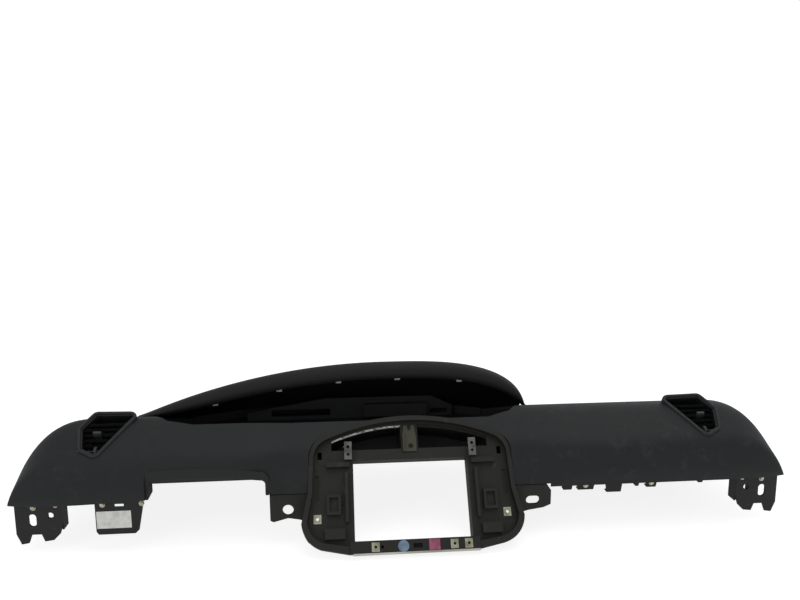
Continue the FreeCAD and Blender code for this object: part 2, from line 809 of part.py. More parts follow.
def make_radio_bracket(side, label):
    """Folded steel angle beside the radio opening, with two screw holes."""
    body = new_body("RadioBracket")
    face = [(110, 172.5), (124, 172.5), (124, 206), (110, 206)]
    add(body, [mirrored(face, side), ("circle", side * 117, 182, 2.8),
               ("circle", side * 117, 196, 2.8)], 2, level=-2)
    add(body, [mirrored(rectangle(110, 112, 172.5, 190), side)], 10, level=-12)
    on_frame(body, label)


def make_switch_bracket():
    """Pale bracket between the duct mouths: a plate with a round eye and two prongs."""
    body = new_body("SwitchBracket")
    add(body, [[(-13, 186), (13, 186), (13, 212), (10, 236), (4, 236), (2, 226), (-2, 226),
                (-4, 236), (-10, 236), (-13, 212)], ("circle", 2, 196, 4.5)], 3,
        level=-dim("rim_depth"))
    add(body, [rectangle(-13, -10, 186, 220)], 9, level=-dim("rim_depth"))
    on_frame(body, "switch_bracket")


def make_centre_duct():
    """Twin air duct behind the mouths, going back and down to its inlet."""
    body = new_body("CentreDuct")
    depth = dim("frame_depth")
    shape = [(-150, 190), (150, 190), (150, 211, size("arch_radius") - 14), (-150, 211)]
    add(body, [shape], 62, level=-depth, back=True)
    for side in (-1, 1):
        cut(body, [mirrored(mouth_outline(0), side)])
    on_frame(body, "centre_air_duct")


def make_duct_seals():
    """A seal under the arch at each mouth."""
    for side, label in ((-1, "left_duct_seal"), (1, "right_duct_seal")):
        body = new_body("DuctSeal")
        top = size("frame_height") - 14
        arch = size("arch_radius") - 16
        band = [(147.8, top - 31), (147.8, top - 27.3, arch), (16.2, top - 0.3),
                (16.2, top - 4, -(arch - 4))]
        add(body, [mirrored(band, side)], 8, level=-24)
        on_frame(body, label)


def section_ring(outer, inner, start, tangent, up):
    """Placed wires of a duct's outer and inner section, square to its path."""
    wires = []
    across = tangent.cross(up).normalize()
    for width, height in (outer, inner):
        corners = []
        for a, b in ((-1, -1), (1, -1), (1, 1), (-1, 1), (-1, -1)):
            corners.append(start + across * (a * width / 2) + up * (b * height / 2))
        wires.append(Part.makePolygon(corners))
    return wires


def make_side_duct(side, label):
    """Flat duct from the vent's neck, round one bend and in towards the middle."""
    tilt = math.radians(size("vent_tilt"))
    along = Vector(0, math.sin(tilt), -math.cos(tilt))
    up = Vector(0, math.cos(tilt), math.sin(tilt))
    inward = Vector(-side, 0, 0)
    datum = Vector(side * size("vent_offset"), size("vent_front"), size("vent_height"))
    start = datum + Vector(side * 9, 0, 0) + up * 51 + along * (size("neck_end") + 0.5)
    radius = size("duct_radius")
    bend_start = start + along * 12
    centre = bend_start + inward * radius
    bend_middle = centre + (along - inward).normalize() * radius
    bend_end = centre + along * radius
    finish = Vector(side * 190, bend_end.y, bend_end.z)
    path = Part.Wire([Part.makeLine(start, bend_start),
                      Part.Arc(bend_start, bend_middle, bend_end).toShape(),
                      Part.makeLine(bend_end, finish)])
    solids = []
    for wire in section_ring((36, 40), (32, 36), start, along, up):
        solids.append(path.makePipeShell([wire], True, False))
    duct = solid_feature("SideDuct", solids[0].cut(solids[1]))
    keep(place(duct), label)


def make_end_bracket(side, label):
    """Moulded bracket under each end: a webbed plate with two feet, a slot and a bolt hole."""
    body = new_body("EndBracket")
    outline = [(634, 24), (634, -46), (640, -66), (652, -78), (668, -80), (673, -66), (690, -66),
               (696, -82), (709, -84), (717, -64), (717, -3), (700, -3), (700, 24)]
    offset, drop = dim("end_bolt_offset"), dim("end_bolt_drop")
    slot = [(680, -44, 6.501), (693, -44), (693, -33, 6.501), (680, -33)]
    add(body, [mirrored(outline, side), mirrored(slot, side),
               ("circle", side * offset, -drop, dim("end_bolt_radius"))],
        4, level=-8, plane="XZ_Plane", back=True)
    for x in (634, 668, 713):
        add(body, [mirrored(rectangle(x, x + 3.5, -60, -4), side)], 24, level=-12,
            plane="XZ_Plane", back=True)
    add(body, [mirrored(rectangle(636, 660, 2, 22), side)], 11, level=-8, plane="XZ_Plane")
    add(body, [mirrored(rectangle(676, 694, 2, 22), side)], 3, level=-8, plane="XZ_Plane")
    keep(place(body), label)


LIP_SEAT = 3.7


def make_knee_bracket():
    """Bracket that hangs under the pad beside the column, and carries the blank label."""
    body = new_body("KneeBracket")
    add(body, [[(-566, 20), (-566, -50), (-558, -56), (-494, -56), (-484, -44), (-482, 20)],
               rectangle(-532, -512, -9, -4)], 3, level=LIP_SEAT, plane="XZ_Plane", back=True)
    add(body, [rectangle(-566, -482, 14, 20)], 24, level=LIP_SEAT - 2, plane="XZ_Plane", back=True)
    keep(place(body), "knee_bracket")
    label = new_body("BlankLabel")
    add(label, [rectangle(-562, -500, -46, -14)], 0.6, level=LIP_SEAT, plane="XZ_Plane")
    keep(place(label), "blank_label")


TAB_PLACES = [(284, 306, -16), (312, 348, -17), (368, 402, -24), (424, 436, -14),
              (446, 470, -17), (548, 562, -12)]


def make_passenger_rail():
    """Rail behind the pad's lower lip on the passenger side, with its fixing tabs."""
    body = new_body("PassengerRail")
    add(body, [rectangle(272, 620, -3, 14)], 2.5, level=LIP_SEAT, plane="XZ_Plane", back=True)
    add(body, [rectangle(272, 620, 11.5, 14)], 22, level=LIP_SEAT - 2, plane="XZ_Plane", back=True)
    for x0, x1, foot in TAB_PLACES:
        add(body, [[(x0, -2), (x0 + 3, foot), (x1 - 3, foot), (x1, -2)]], 2.5, level=LIP_SEAT,
            plane="XZ_Plane", back=True)
        add(body, [rectangle(x0 + 3, x1 - 3, foot, foot + 2)], 12, level=LIP_SEAT,
            plane="XZ_Plane", back=True)
    keep(place(body), "passenger_rail")


def make_airbag_chute():
    """Open chute bonded to the underside of the skin by a flange round its top."""
    outer, inner = box_plan(292, 488, 52, 148), box_plan(295, 485, 55, 145)
    walls = slab(outer, 32, 140).cut(slab(inner, 30, 150))
    for x in (310, 430):
        walls = walls.cut(Part.makeBox(40, 15, 12, Vector(x, 45, 60)))
    skirt = slab(box_plan(282, 498, 42, 158), 60, 140).cut(slab(inner, 30, 150))
    flange = under_pad(skirt, SEAT_GAP).cut(pad_solid(size("pad_thickness") + SEAT_GAP + 2.5))
    chute = under_pad(walls, SEAT_GAP).fuse(flange).removeSplitter()
    keep(place(solid_feature("AirbagChute", chute)), "airbag_chute")


def box_plan(x0, x1, y0, y1):
    return [(x0, y0), (x1, y0), (x1, y1), (x0, y1)]


def make_bracket_screws():
    """Flanged screws that hold the end brackets, the knee bracket and the rail to the pad."""
    screws = []
    for x, y, z in ((-684, 8, -14), (-645, 8, -10), (645, 8, -10), (684, 8, -14),
                    (-559, -LIP_SEAT, -8), (-490, -LIP_SEAT, -8), (330, -LIP_SEAT, -8),
                    (458, -LIP_SEAT, -8)):
        body = new_body("Screw")
        add(body, [("circle", x, z, 5)], 1, level=-y + 0.05, plane="XZ_Plane")
        hexagon = [(x + 3.6 * math.cos(math.radians(60 * k)),
                    z + 3.6 * math.sin(math.radians(60 * k))) for k in range(6)]
        add(body, [hexagon], 2.4, level=-y + 1.05, plane="XZ_Plane")
        screws.append(body)
    keep(place(group(screws, "BracketScrews")), "bracket_screws")


def vent_place(item, side):
    origin = (side * size("vent_offset"), size("vent_front"), size("vent_height"))
    return place(item, origin, size("vent_tilt"))


def vent_name(side, name):
    return ("left_" if side < 0 else "right_") + name


def edge_at(s, a, b):
    """x of the line from corner a to corner b, at height s up the vent's face."""
    return a[0] + (b[0] - a[0]) * (s - a[1]) / (b[1] - a[1])


def vent_span(s):
    """Left and right inner edges of the vent's opening at height s, for the right vent."""
    tip, low, high, top_right, top_left = VENT_CORNERS
    if s < low[1]:
        right = edge_at(s, tip, low)
    elif s < high[1]:
        right = edge_at(s, low, high)
    else:
        right = edge_at(s, high, top_right)
    return edge_at(s, tip, top_left), right


BLADES = 5
KNOB_BLADE = 3
VANE_PLACES = [-14, 6, 26]
WHEEL_S, WHEEL_SINK = 6, 8
WHEEL_LEFT, WHEEL_RIGHT = 7.5, 12
NECK = (-8, 26, 32, 70)
FLAP_S = 51


def blade_s(number):
    return dim("blade_first") + dim("blade_pitch") * (number - 1)


def make_vent_housing(side):
    """Moulded case: a wedge-shaped box behind the face with a rectangular neck at the back."""
    body = new_body("VentHousing")
    depth, wall = dim("vent_depth"), size("wall")
    hole = dim("pivot_radius") + dim("pivot_clearance")
    outer, inner = grown(VENT_CORNERS, wall), VENT_CORNERS
    add(body, [mirrored(outer, side)], depth - 1, level=-1, back=True)
    cut(body, [mirrored(inner, side)], depth - 1 - wall, level=-1)
    x0, x1, s0, s1 = NECK
    add(body, [mirrored(rectangle(x0 - 2, x1 + 2, s0 - 2, s1 + 2), side)],
        dim("neck_end") - depth, level=-depth, back=True)
    cut(body, [mirrored(rectangle(x0, x1, s0, s1), side)])
    pins = [("circle", blade_s(number), -dim("blade_sink"), hole)
            for number in range(1, BLADES + 1)]
    pins.append(("circle", WHEEL_S, -WHEEL_SINK, hole))
    pins.append(("circle", FLAP_S, -dim("flap_sink"), hole))
    cut(body, pins, plane="YZ_Plane")
    vanes = [("circle", side * x, -dim("vane_sink"), hole) for x in VANE_PLACES]
    cut(body, vanes, plane="XZ_Plane")
    keep(vent_place(body, side), vent_name(side, "vent_housing"))


def make_vent_bezel(side):
    """Raised surround of the vent, skirted down into the pad."""
    body = new_body("VentBezel")
    wall = size("wall")
    outer = grown(VENT_CORNERS, BEZEL_WIDTH)
    add(body, [mirrored(outer, side)], 20, level=-16)
    round_edges(body, 11.5, upright)
    doc.recompute()
    top = [number for number, edge in enumerate(body.Tip.Shape.Edges, start=1)
           if abs(edge.BoundBox.ZMin - 4) < 1e-6 and abs(edge.BoundBox.ZMax - 4) < 1e-6]
    base = body.Tip
    soft = body.newObject("PartDesign::Fillet", "BezelEdge")
    soft.Base = (base, ["Edge%d" % number for number in top])
    soft.Radius = 2.5
    cut(body, [mirrored(grown(VENT_CORNERS, wall + 0.2), side)])
    keep(vent_place(body, side), vent_name(side, "vent_bezel"))


def blade_profile(s, sink, chord, grow=0.0):
    """A blade's section: a slim lens across the sheet's plane, thickest at its pivot."""
    half, thick = chord / 2 + grow, 1.6 + grow
    return [(s, -half - sink), (s + thick * 0.6, -sink - 2.5), (s + thick, -sink),
            (s + thick * 0.6, -sink + 2.5), (s, half - sink), (s - thick * 0.6, -sink + 2.5),
            (s - thick, -sink), (s - thick * 0.6, -sink - 2.5)]


def across(side, x0, x1):
    """Level and length of a pad along X between two places on the right vent, or its mirror."""
    return (x0 if side > 0 else -x1), x1 - x0


def make_blades(side):
    """Five blades on pivots in the side walls; the knob rides on the third."""
    for number in range(1, BLADES + 1):
        body = new_body("Blade")
        s = blade_s(number)
        left, right = vent_span(s.value)
        lower_left, lower_right = vent_span(s.value - 3)
        _, upper_right = vent_span(s.value + 3)
        left_end, right_end = lower_left + 0.8, min(lower_right, right, upper_right) - 0.8
        level, length = across(side, left_end, right_end)
        add(body, [blade_profile(s, dim("blade_sink"), dim("blade_chord"))], length,
            level=level, plane="YZ_Plane")
        level, length = across(side, left - 2, right + 2)
        add(body, [("circle", s, -dim("blade_sink"), dim("pivot_radius"))], length, level=level,
            plane="YZ_Plane")
        keep(vent_place(body, side), vent_name(side, "vent_blade_%d" % number))


def make_knob(side):
    """Finger knob, threaded on the third blade so that it slides along it."""
    body = new_body("Knob")
    s = blade_s(KNOB_BLADE)
    level, length = across(side, 6, 20)
    outline = [(s - 3.4, -18), (s + 3.4, -18), (s + 3.4, -2), (s + 2, 2), (s - 2, 2),
               (s - 3.4, -2)]
    add(body, [outline, blade_profile(s, dim("blade_sink"), dim("blade_chord"), 0.25)], length,
        level=level, plane="YZ_Plane")
    keep(vent_place(body, side), vent_name(side, "vent_knob"))


def make_vanes(side):
    """Upright vanes behind the blades, on pivots in the walls below and above."""
    tip, _, _, top_right, top_left = VENT_CORNERS
    for number, x in enumerate(VANE_PLACES, start=1):
        body = new_body("Vane")
        low = edge_at_x(x, tip, top_left) if x < tip[0] else edge_at_x(x, tip, VENT_CORNERS[1])
        if x < top_right[0]:
            high = edge_at_x(x, top_right, top_left)
        else:
            high = edge_at_x(x, VENT_CORNERS[2], top_right)
        sink, half = dim("vane_sink"), dim("vane_chord") / 2
        profile = [(side * x - 1.4, -sink), (side * x, -half - sink), (side * x + 1.4, -sink),
                   (side * x, half - sink)]
        bottom, top = low + 7.5, high - 1
        if x > top_right[0]:
            top = high - 6
        add(body, [profile], top - bottom, level=-top, plane="XZ_Plane")
        add(body, [("circle", side * x, -sink, dim("pivot_radius"))], high - low + 3,
            level=-high - 1.5, plane="XZ_Plane")
        keep(vent_place(body, side), vent_name(side, "vent_vane_%d" % number))


def edge_at_x(x, a, b):
    """Height up the face of the line from corner a to corner b, at x."""
    return a[1] + (b[1] - a[1]) * (x - a[0]) / (b[0] - a[0])


def make_thumbwheel(side):
    """Ribbed wheel at the tip of the vent, on a pin between the side walls."""
    body = new_body("Thumbwheel")
    radius, teeth = size("wheel_radius"), 18
    rim = []
    for step in range(2 * teeth):
        reach = radius if step % 2 else radius - 0.8
        angle = math.pi * step / teeth
        rim.append((WHEEL_S + reach * math.cos(angle), -WHEEL_SINK + reach * math.sin(angle)))
    level, length = across(side, WHEEL_LEFT, WHEEL_RIGHT)
    add(body, [rim], length, level=level, plane="YZ_Plane")
    left, right = vent_span(WHEEL_S)
    level, length = across(side, left - 2, right + 2)
    add(body, [("circle", WHEEL_S, -WHEEL_SINK, dim("pivot_radius"))], length, level=level,
        plane="YZ_Plane")
    keep(vent_place(body, side), vent_name(side, "vent_thumbwheel"))


def make_flap(side):
    """Shut-off flap in the neck, open at rest."""
    body = new_body("Flap")
    x0, x1, s0, s1 = NECK
    sink, half = dim("flap_sink"), (s1 - s0) / 2 - 0.8
    level, length = across(side, x0 + 0.6, x1 - 0.6)
    add(body, [[(FLAP_S - 0.7, -sink - half), (FLAP_S + 0.7, -sink - half),
                (FLAP_S + 1.8, -sink), (FLAP_S + 0.7, half - sink), (FLAP_S - 0.7, half - sink),
                (FLAP_S - 1.8, -sink)]], length, level=level, plane="YZ_Plane")
    level, length = across(side, x0 - 1.8, x1 + 1.8)
    add(body, [("circle", FLAP_S, -sink, dim("pivot_radius"))], length, level=level,
        plane="YZ_Plane")
    keep(vent_place(body, side), vent_name(side, "vent_flap"))


def check(item):
    """Stop if an object failed to build or its shape is missing or broken."""
    if "Invalid" in item.State or "Error" in item.State:
        raise RuntimeError("%s failed: %s" % (item.Label, item.State))


def main():
    make_pad()
    make_column_trim()
    make_hood()
    make_hood_clips()
    make_tray()
    make_back_plate()
    make_centre_frame()
    make_cross_bar()
    make_spring_nuts()
    make_stickers()
    make_radio_bracket(-1, "left_radio_bracket")
    make_radio_bracket(1, "right_radio_bracket")
    make_switch_bracket()
    make_centre_duct()
    make_duct_seals()
    make_knee_bracket()
    make_passenger_rail()
    make_airbag_chute()
    make_bracket_screws()
    for side in (-1, 1):
        make_side_duct(side, vent_name(side, "side_duct"))
        make_end_bracket(side, vent_name(side, "end_bracket"))
        make_vent_housing(side)
        make_vent_bezel(side)
        make_blades(side)
        make_knob(side)
        make_vanes(side)
        make_thumbwheel(side)
        make_flap(side)
    doc.recompute()
    for item in doc.Objects:
        check(item)
    os.makedirs("parts", exist_ok=True)
    for item in SUBPARTS:
        shape = item.Shape
        if shape.isNull() or not shape.isValid():
            raise RuntimeError("%s has no valid shape" % item.Label)
        shape.exportStep("parts/%s.step" % item.Label)
        print("%-24s solids %d volume %9.0f" % (item.Label, len(shape.Solids), shape.Volume))


main()
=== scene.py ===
import math

import bmesh
import bpy
import numpy as np
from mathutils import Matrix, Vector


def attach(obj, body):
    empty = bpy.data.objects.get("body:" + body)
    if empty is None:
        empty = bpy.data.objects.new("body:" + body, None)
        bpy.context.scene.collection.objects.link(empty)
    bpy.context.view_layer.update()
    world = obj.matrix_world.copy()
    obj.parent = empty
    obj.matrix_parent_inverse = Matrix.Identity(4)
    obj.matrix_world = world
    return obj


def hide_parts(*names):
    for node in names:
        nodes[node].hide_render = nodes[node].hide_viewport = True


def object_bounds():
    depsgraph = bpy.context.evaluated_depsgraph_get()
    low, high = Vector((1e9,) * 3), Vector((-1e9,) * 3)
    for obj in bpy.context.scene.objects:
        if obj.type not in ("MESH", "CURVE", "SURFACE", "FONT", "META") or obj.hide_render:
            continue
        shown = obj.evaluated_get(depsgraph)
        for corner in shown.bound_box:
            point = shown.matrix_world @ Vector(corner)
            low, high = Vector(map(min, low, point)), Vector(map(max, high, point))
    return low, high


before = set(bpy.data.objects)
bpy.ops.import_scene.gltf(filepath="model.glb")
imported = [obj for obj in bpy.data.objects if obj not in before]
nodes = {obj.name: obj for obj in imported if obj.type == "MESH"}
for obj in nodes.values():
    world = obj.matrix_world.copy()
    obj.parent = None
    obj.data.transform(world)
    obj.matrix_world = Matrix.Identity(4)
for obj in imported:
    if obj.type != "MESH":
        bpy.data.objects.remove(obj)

cad_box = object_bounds()

# Camera: the viewpoint of somebody standing in front of the dashboard, left of its middle and
# looking down at it. Its aim is a yaw to the right and a pitch below the horizon.
camera_yaw, camera_pitch, camera_roll = math.radians(4.97), math.radians(10.5), math.radians(0.23)
camera_data = bpy.data.cameras.new("viewpoint")
camera_data.sensor_width = 36
camera_data.lens = 35
camera = bpy.data.objects.new("viewpoint", camera_data)
camera.location = (-0.1373, -1.5221, 0.7073)
camera.rotation_euler = (math.pi / 2 - camera_pitch, camera_roll, -camera_yaw)
bpy.context.scene.collection.objects.link(camera)
bpy.context.scene.camera = camera


# Studio: a pale floor that runs on to the horizon, three broad soft lamps and an even grey world.
# The floor glows white to the camera and keeps the soft shadow that the dashboard throws on it.
class Value:
    """A shader socket as a number or a colour: sums and products with it add their own nodes."""

    def __init__(self, socket):
        self.socket = socket

    def node(self, kind, settings=(), output=0, **inputs):
        """Add one shader node: its settings first, then each input as a number or a link.
        An input is named as on the node, with _ for a space, or n0, n1 by its place."""
        tree = self.socket.id_data
        made = tree.nodes.new("ShaderNode" + kind)
        for name, value in dict(settings).items():
            if name == "stops":
                while len(made.color_ramp.elements) < len(value):
                    made.color_ramp.elements.new(1)
                for stop, (place, shade) in zip(made.color_ramp.elements, value):
                    stop.position = place
                    stop.color = tuple(shade) + (1,) if len(shade) == 3 else shade
            else:
                setattr(made, name, value)
        for name, value in inputs.items():
            place = int(name[1:]) if name[0] == "n" and name[1:].isdigit() else None
            socket = made.inputs[name.replace("_", " ") if place is None else place]
            if isinstance(value, Value):
                tree.links.new(value.socket, socket)
            else:
                socket.default_value = value
        return Value(made.outputs[output])

    def math(self, operation, *others):
        terms = {"n%d" % place: term for place, term in enumerate((self,) + others)}
        return self.node("Math", {"operation": operation}, **terms)

    def __add__(self, other):
        return self.math("ADD", other)

    def __mul__(self, other):
        return self.math("MULTIPLY", other)

    __radd__, __rmul__ = __add__, __mul__

    def between(self, low, high):
        """0 below low, 1 above high and a smooth blend between them."""
        return self.node("MapRange", {"interpolation_type": "SMOOTHSTEP"},
                         Value=self, From_Min=low, From_Max=high)

    def tint(self, first, second):
        """The first colour where this value is 0 and the second where it is 1."""
        ends = [end if isinstance(end, Value) else tuple(end) + (1,) for end in (first, second)]
        return self.node("MixRGB", {"blend_type": "MIX"}, Fac=self, Color1=ends[0], Color2=ends[1])

    def noise(self, scale, detail=3.0, rough=0.5, stretch=None):
        """Cloudy noise from 0 to 1 over this position; stretch scales its three axes."""
        place = self if stretch is None else self.node("Mapping", Vector=self, Scale=stretch)
        return place.node("TexNoise", Vector=place, Scale=scale, Detail=detail, Roughness=rough)

    def cells(self, scale):
        """Distance from the middle of the nearest cell over this position."""
        return self.node("TexVoronoi", {"feature": "F1"}, Vector=self, Scale=scale)


def srgb(red, green, blue):
    """A colour as it is seen, 0 to 255, as the shader's linear colour."""
    seen = np.array((red, green, blue)) / 255
    return tuple(np.where(seen <= 0.04045, seen / 12.92, ((seen + 0.055) / 1.055) ** 2.4))


def new_material(name, **fixed):
    """An empty material with one principled shader; fixed sets its plain sockets by name.
    Returns the material, its shader node and the object's own coordinates as a Value."""
    material = bpy.data.materials.new(name)
    material.use_nodes = True
    tree = material.node_tree
    tree.nodes.clear()
    shader = tree.nodes.new("ShaderNodeBsdfPrincipled")
    finish = tree.nodes.new("ShaderNodeOutputMaterial")
    tree.links.new(shader.outputs[0], finish.inputs[0])
    for key, value in fixed.items():
        socket = shader.inputs[key.replace("_", " ")]
        socket.default_value = tuple(value) + (1,) if key == "Base_Color" else value
    place = Value(tree.nodes.new("ShaderNodeTexCoord").outputs["Object"])
    return material, shader, place


def feed(shader, relief=None, depth=0.0001, strength=1.0, **links):
    """Link what varies over the surface; relief is a height from 0 to 1, depth metres deep."""
    tree = shader.id_data
    for key, value in links.items():
        tree.links.new(value.socket, shader.inputs[key.replace("_", " ")])
    if relief is not None:
        bump = relief.node("Bump", Height=relief, Distance=depth, Strength=strength)
        tree.links.new(bump.socket, shader.inputs["Normal"])


def surface(name, rows, closed=False):
    """A mesh object through a grid of points, rows x columns x 3, joined to its neighbours.
    closed joins the last column to the first. The grid turns right-handed outwards."""
    points = np.asarray(rows, np.float32)
    high, wide = points.shape[:2]
    index = np.arange(high * wide).reshape(high, wide)
    if closed:
        index = np.concatenate([index, index[:, :1]], axis=1)
    quads = np.stack([index[:-1, :-1], index[:-1, 1:], index[1:, 1:], index[1:, :-1]], -1)
    mesh = bpy.data.meshes.new(name)
    mesh.from_pydata(points.reshape(-1, 3).tolist(), [], quads.reshape(-1, 4).tolist())
    mesh.polygons.foreach_set("use_smooth", np.ones(len(mesh.polygons), bool))
    piece = bpy.data.objects.new(name, mesh)
    bpy.context.scene.collection.objects.link(piece)
    return piece


floor_rows = np.array([[(x, y, cad_box[0].z - 0.001) for x in (-60, 60)] for y in (-60, 60)])
floor = surface("floor", floor_rows)
floor_paint, floor_shader, floor_place = new_material("pale_floor", Roughness=0.9)
floor_shader.inputs["Base Color"].default_value = (0.86, 0.86, 0.86, 1)
floor_shader.inputs["Emission Color"].default_value = (1, 1, 1, 1)
floor_shader.inputs["Emission Strength"].default_value = 0.3
floor_seen = floor_place.node("LightPath")
floor_glow = floor_place.node("Emission", Color=(1, 1, 1, 1), Strength=1.4)
floor_finish = floor_place.node("MixShader", n0=floor_seen * 0.5, n1=Value(floor_shader.outputs[0]),
                                n2=floor_glow)
floor_out = floor_paint.node_tree.nodes["Material Output"]
floor_paint.node_tree.links.new(floor_finish.socket, floor_out.inputs[0])
floor.data.materials.append(floor_paint)

world = bpy.data.worlds.new("studio")
world.use_nodes = True
sky = world.node_tree.nodes["Background"]
sky.inputs["Color"].default_value = (1, 1, 1, 1)
path = world.node_tree.nodes.new("ShaderNodeLightPath")
seen = Value(path.outputs["Is Camera Ray"])
sky_strength = seen.math("MAXIMUM", Value(path.outputs["Is Glossy Ray"]) * 0.25) * 0.6 + 0.4
world.node_tree.links.new(sky_strength.socket, sky.inputs["Strength"])
bpy.context.scene.world = world


def soft_lamp(name, place, aim, size, power):
    """A square area lamp at place that faces aim."""
    lamp_data = bpy.data.lights.new(name, "AREA")
    lamp_data.size = size
    lamp_data.energy = power
    lamp = bpy.data.objects.new(name, lamp_data)
    bpy.context.scene.collection.objects.link(lamp)
    lamp.location = place
    away = np.array(place, float) - aim
    flat = math.hypot(away[0], away[1])
    lamp.rotation_euler = (math.atan2(flat, away[2]), 0, math.atan2(away[0], -away[1]))


soft_lamp("overhead", (0.3, -0.2, 2.8), (0, 0, 0.1), 2.6, 24)
soft_lamp("front_left", (-2.2, -2.4, 1.9), (0, 0, 0.15), 1.8, 12)
soft_lamp("back_right", (2.0, 2.0, 1.8), (0, 0, 0.15), 1.6, 12)

bpy.context.scene.view_settings.view_transform = "Standard"


# Pad: the soft skin over the whole car's width, foam backed and a little proud at its openings.
# One smooth section runs from the lower lip up the fascia, over the crest and back to the
# windscreen; it is lower towards the doors and leant back beside the centre frame.
front_reach, rear_reach, bar_drop = 0.0778, 0.420, 0.093
foot_rise, foot_depth, frame_rake = 0.004, 0.022, math.radians(56.9)
lip = np.array((0, (front_reach - rear_reach) / 2,
                bar_drop - foot_rise * math.sin(frame_rake) + foot_depth * math.cos(frame_rake)))
half_width = 0.725
skin = 0.0035
section = np.array([(-8, 0), (-10, 12), (-6, 40), (4, 66), (30, 86), (62, 105), (95, 118),
                    (130, 109), (180, 88), (250, 55), (330, 16), (420, -24)]) / 1000
crest = section[6]


def ease(value, low, high):
    """0 below low, 1 above high, cubic blend between."""
    step = np.clip((value - low) / (high - low), 0, 1)
    return step * step * (3 - 2 * step)


def crown(x):
    """The section's height at x as a share of its height in the middle."""
    reach = np.clip((np.abs(x) - 0.590) / (half_width - 0.590), 0, 1)
    return np.maximum(0.05, (1 - reach ** 2.6) ** 0.62)


def pad_knots(x):
    """The section's twelve points at each x: y and z, shaped x by 12."""
    x = np.asarray(x)[:, None]
    height = crown(x)
    lean = 0.020 * (1 - ease(np.abs(x), 0.215, 0.330))
    y = section[:, 0] + lean * np.sin(np.pi * np.clip(section[:, 1] / crest[1], 0, 1)) * (
        np.arange(len(section)) < 7)
    rear = crest[0] * (0.35 + 0.65 * height) + (y - crest[0]) * (1 - 0.14 * (np.abs(x) / half_width) ** 2)
    y = np.where(np.arange(len(section)) < 7, y * (0.35 + 0.65 * height), rear)
    setback = 0.005 * np.maximum(0, (np.abs(x) - 0.640) / 0.085) ** 2
    droop = 0.006 * ease(np.abs(x), 0.400, 0.640) * np.clip(1 - section[:, 1] / crest[1], 0, 1)
    return y + setback, section[:, 1] * height - droop * (np.arange(len(section)) < 7)


def spline_weights(knots, places):
    """How much each point counts at each place along the natural cubic spline through them."""
    count, gap = len(knots), np.diff(knots)
    bend, slope = np.eye(count), np.zeros((count, count))
    for k in range(1, count - 1):
        bend[k, k - 1:k + 2] = gap[k - 1] / 6, (gap[k - 1] + gap[k]) / 3, gap[k] / 6
        slope[k, k - 1:k + 2] = 1 / gap[k - 1], -1 / gap[k - 1] - 1 / gap[k], 1 / gap[k]
    curved = np.linalg.solve(bend, slope)
    span = np.clip(np.searchsorted(knots, places, side="right") - 1, 0, count - 2)
    share = (places - knots[span]) / gap[span]
    near, far = (1 - share)[:, None], share[:, None]
    squared = (gap[span] ** 2 / 6)[:, None]
    point = np.eye(count)
    return (near * point[span] + far * point[span + 1]
            + (near ** 3 - near) * squared * curved[span]
            + (far ** 3 - far) * squared * curved[span + 1])


run = np.concatenate([[0], np.cumsum(np.hypot(*np.diff(section, axis=0).T))])


def pad_points(x, along):
    """Points of the pad's outer face: x by places along the section, in the row's frame."""
    weights = spline_weights(run, along)
    y, z = (knots @ weights.T for knots in pad_knots(x))
    return np.stack([np.broadcast_to(np.asarray(x)[:, None], y.shape), y, z], -1) + lip


def pad_height(x, y):
    """Height of the pad's outer face behind the crest, above the lip, at plan places x, y."""
    along = np.linspace(run[5], run[-1], 90)
    rows = pad_points(x, along) - lip
    return np.array([np.interp(place, row[:, 1], row[:, 2]) for place, row in zip(y, rows)])


def rounded(corners):
    """A closed outline: a corner (x, y, r) starts an arc of radius r to the next corner that
    bulges to the right of its travel, and a corner (x, y) starts a straight run."""
    outline = []
    for here, after in zip(corners, corners[1:] + corners[:1]):
        start, end = np.array(here[:2], float), np.array(after[:2], float)
        outline.append(start)
        if len(here) == 3:
            chord = end - start
            length = np.hypot(*chord)
            rise = abs(here[2]) - math.sqrt(here[2] ** 2 - length ** 2 / 4)
            side = np.array((chord[1], -chord[0])) / length * math.copysign(1, here[2])
            centre = (start + end) / 2 + side * (rise - abs(here[2]))
            first, last = start - centre, end - centre
            turn = math.atan2(first[0] * last[1] - first[1] * last[0], first @ last)
            for step in np.linspace(0, turn, max(6, int(abs(turn) * 9)))[1:-1]:
                swing = np.array([[math.cos(step), -math.sin(step)], [math.sin(step), math.cos(step)]])
                outline.append(centre + swing @ first)
    return np.array(outline) / 1000


def prism(name, outline, low, high, origin=(0, 0, 0), tilt=0.0):
    """A closed prism over an outline in the plane of local x and y, between two heights along
    its normal; the plane is turned up about X by tilt and moved to origin above the lip."""
    count = len(outline)
    flat = np.array([(px, py, level) for level in (low, high) for px, py in outline])
    turn = np.array([[1, 0, 0], [0, math.cos(tilt), -math.sin(tilt)], [0, math.sin(tilt), math.cos(tilt)]])
    placed = flat @ turn.T + np.array(origin) + lip
    around = [(k, (k + 1) % count, count + (k + 1) % count, count + k) for k in range(count)]
    caps = [tuple(range(count))[::-1], tuple(range(count, 2 * count))]
    mesh = bpy.data.meshes.new(name)
    mesh.from_pydata(placed.tolist(), [], around + caps)
    shaped = bmesh.new()
    shaped.from_mesh(mesh)
    bmesh.ops.recalc_face_normals(shaped, faces=shaped.faces)
    shaped.to_mesh(mesh)
    shaped.free()
    piece = bpy.data.objects.new(name, mesh)
    bpy.context.scene.collection.objects.link(piece)
    return piece


def settled(piece):
    """The piece with its modifiers worked into its mesh."""
    graph = bpy.context.evaluated_depsgraph_get()
    mesh = bpy.data.meshes.new_from_object(piece.evaluated_get(graph))
    piece.modifiers.clear()
    piece.data = mesh
    return piece


